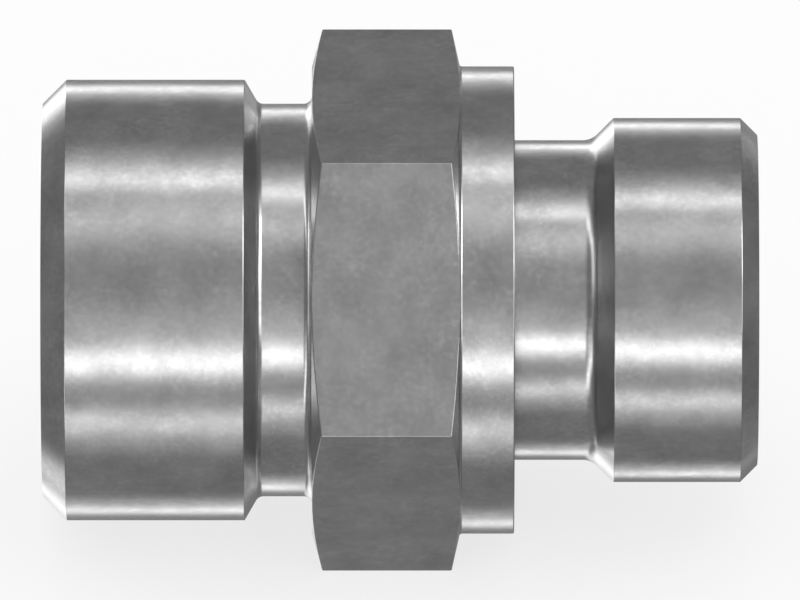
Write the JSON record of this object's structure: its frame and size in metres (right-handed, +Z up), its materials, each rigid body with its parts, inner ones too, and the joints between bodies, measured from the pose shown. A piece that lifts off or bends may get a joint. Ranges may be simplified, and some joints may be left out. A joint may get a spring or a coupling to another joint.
{
  "type": "straight adapter",
  "caption": "Straight hydraulic adapter body: face-seal tube end, spanner hexagon and collared parallel stud turned in one piece, with a plain bore through it.",
  "frame": {"origin": "on the bore's axis, halfway between the two end faces", "axes": "+X along the bore's axis towards the stud's end, +Z up out of one flat of the hexagon, so that the body lies on the opposite flat"},
  "size_m": [0.0412, 0.0312, 0.027],
  "materials": {
    "plated_steel": "satin grey zinc plating on machined steel"
  },
  "bodies": {
    "root": {"adapter_body": "plated_steel"}
  },
  "joints": []
}
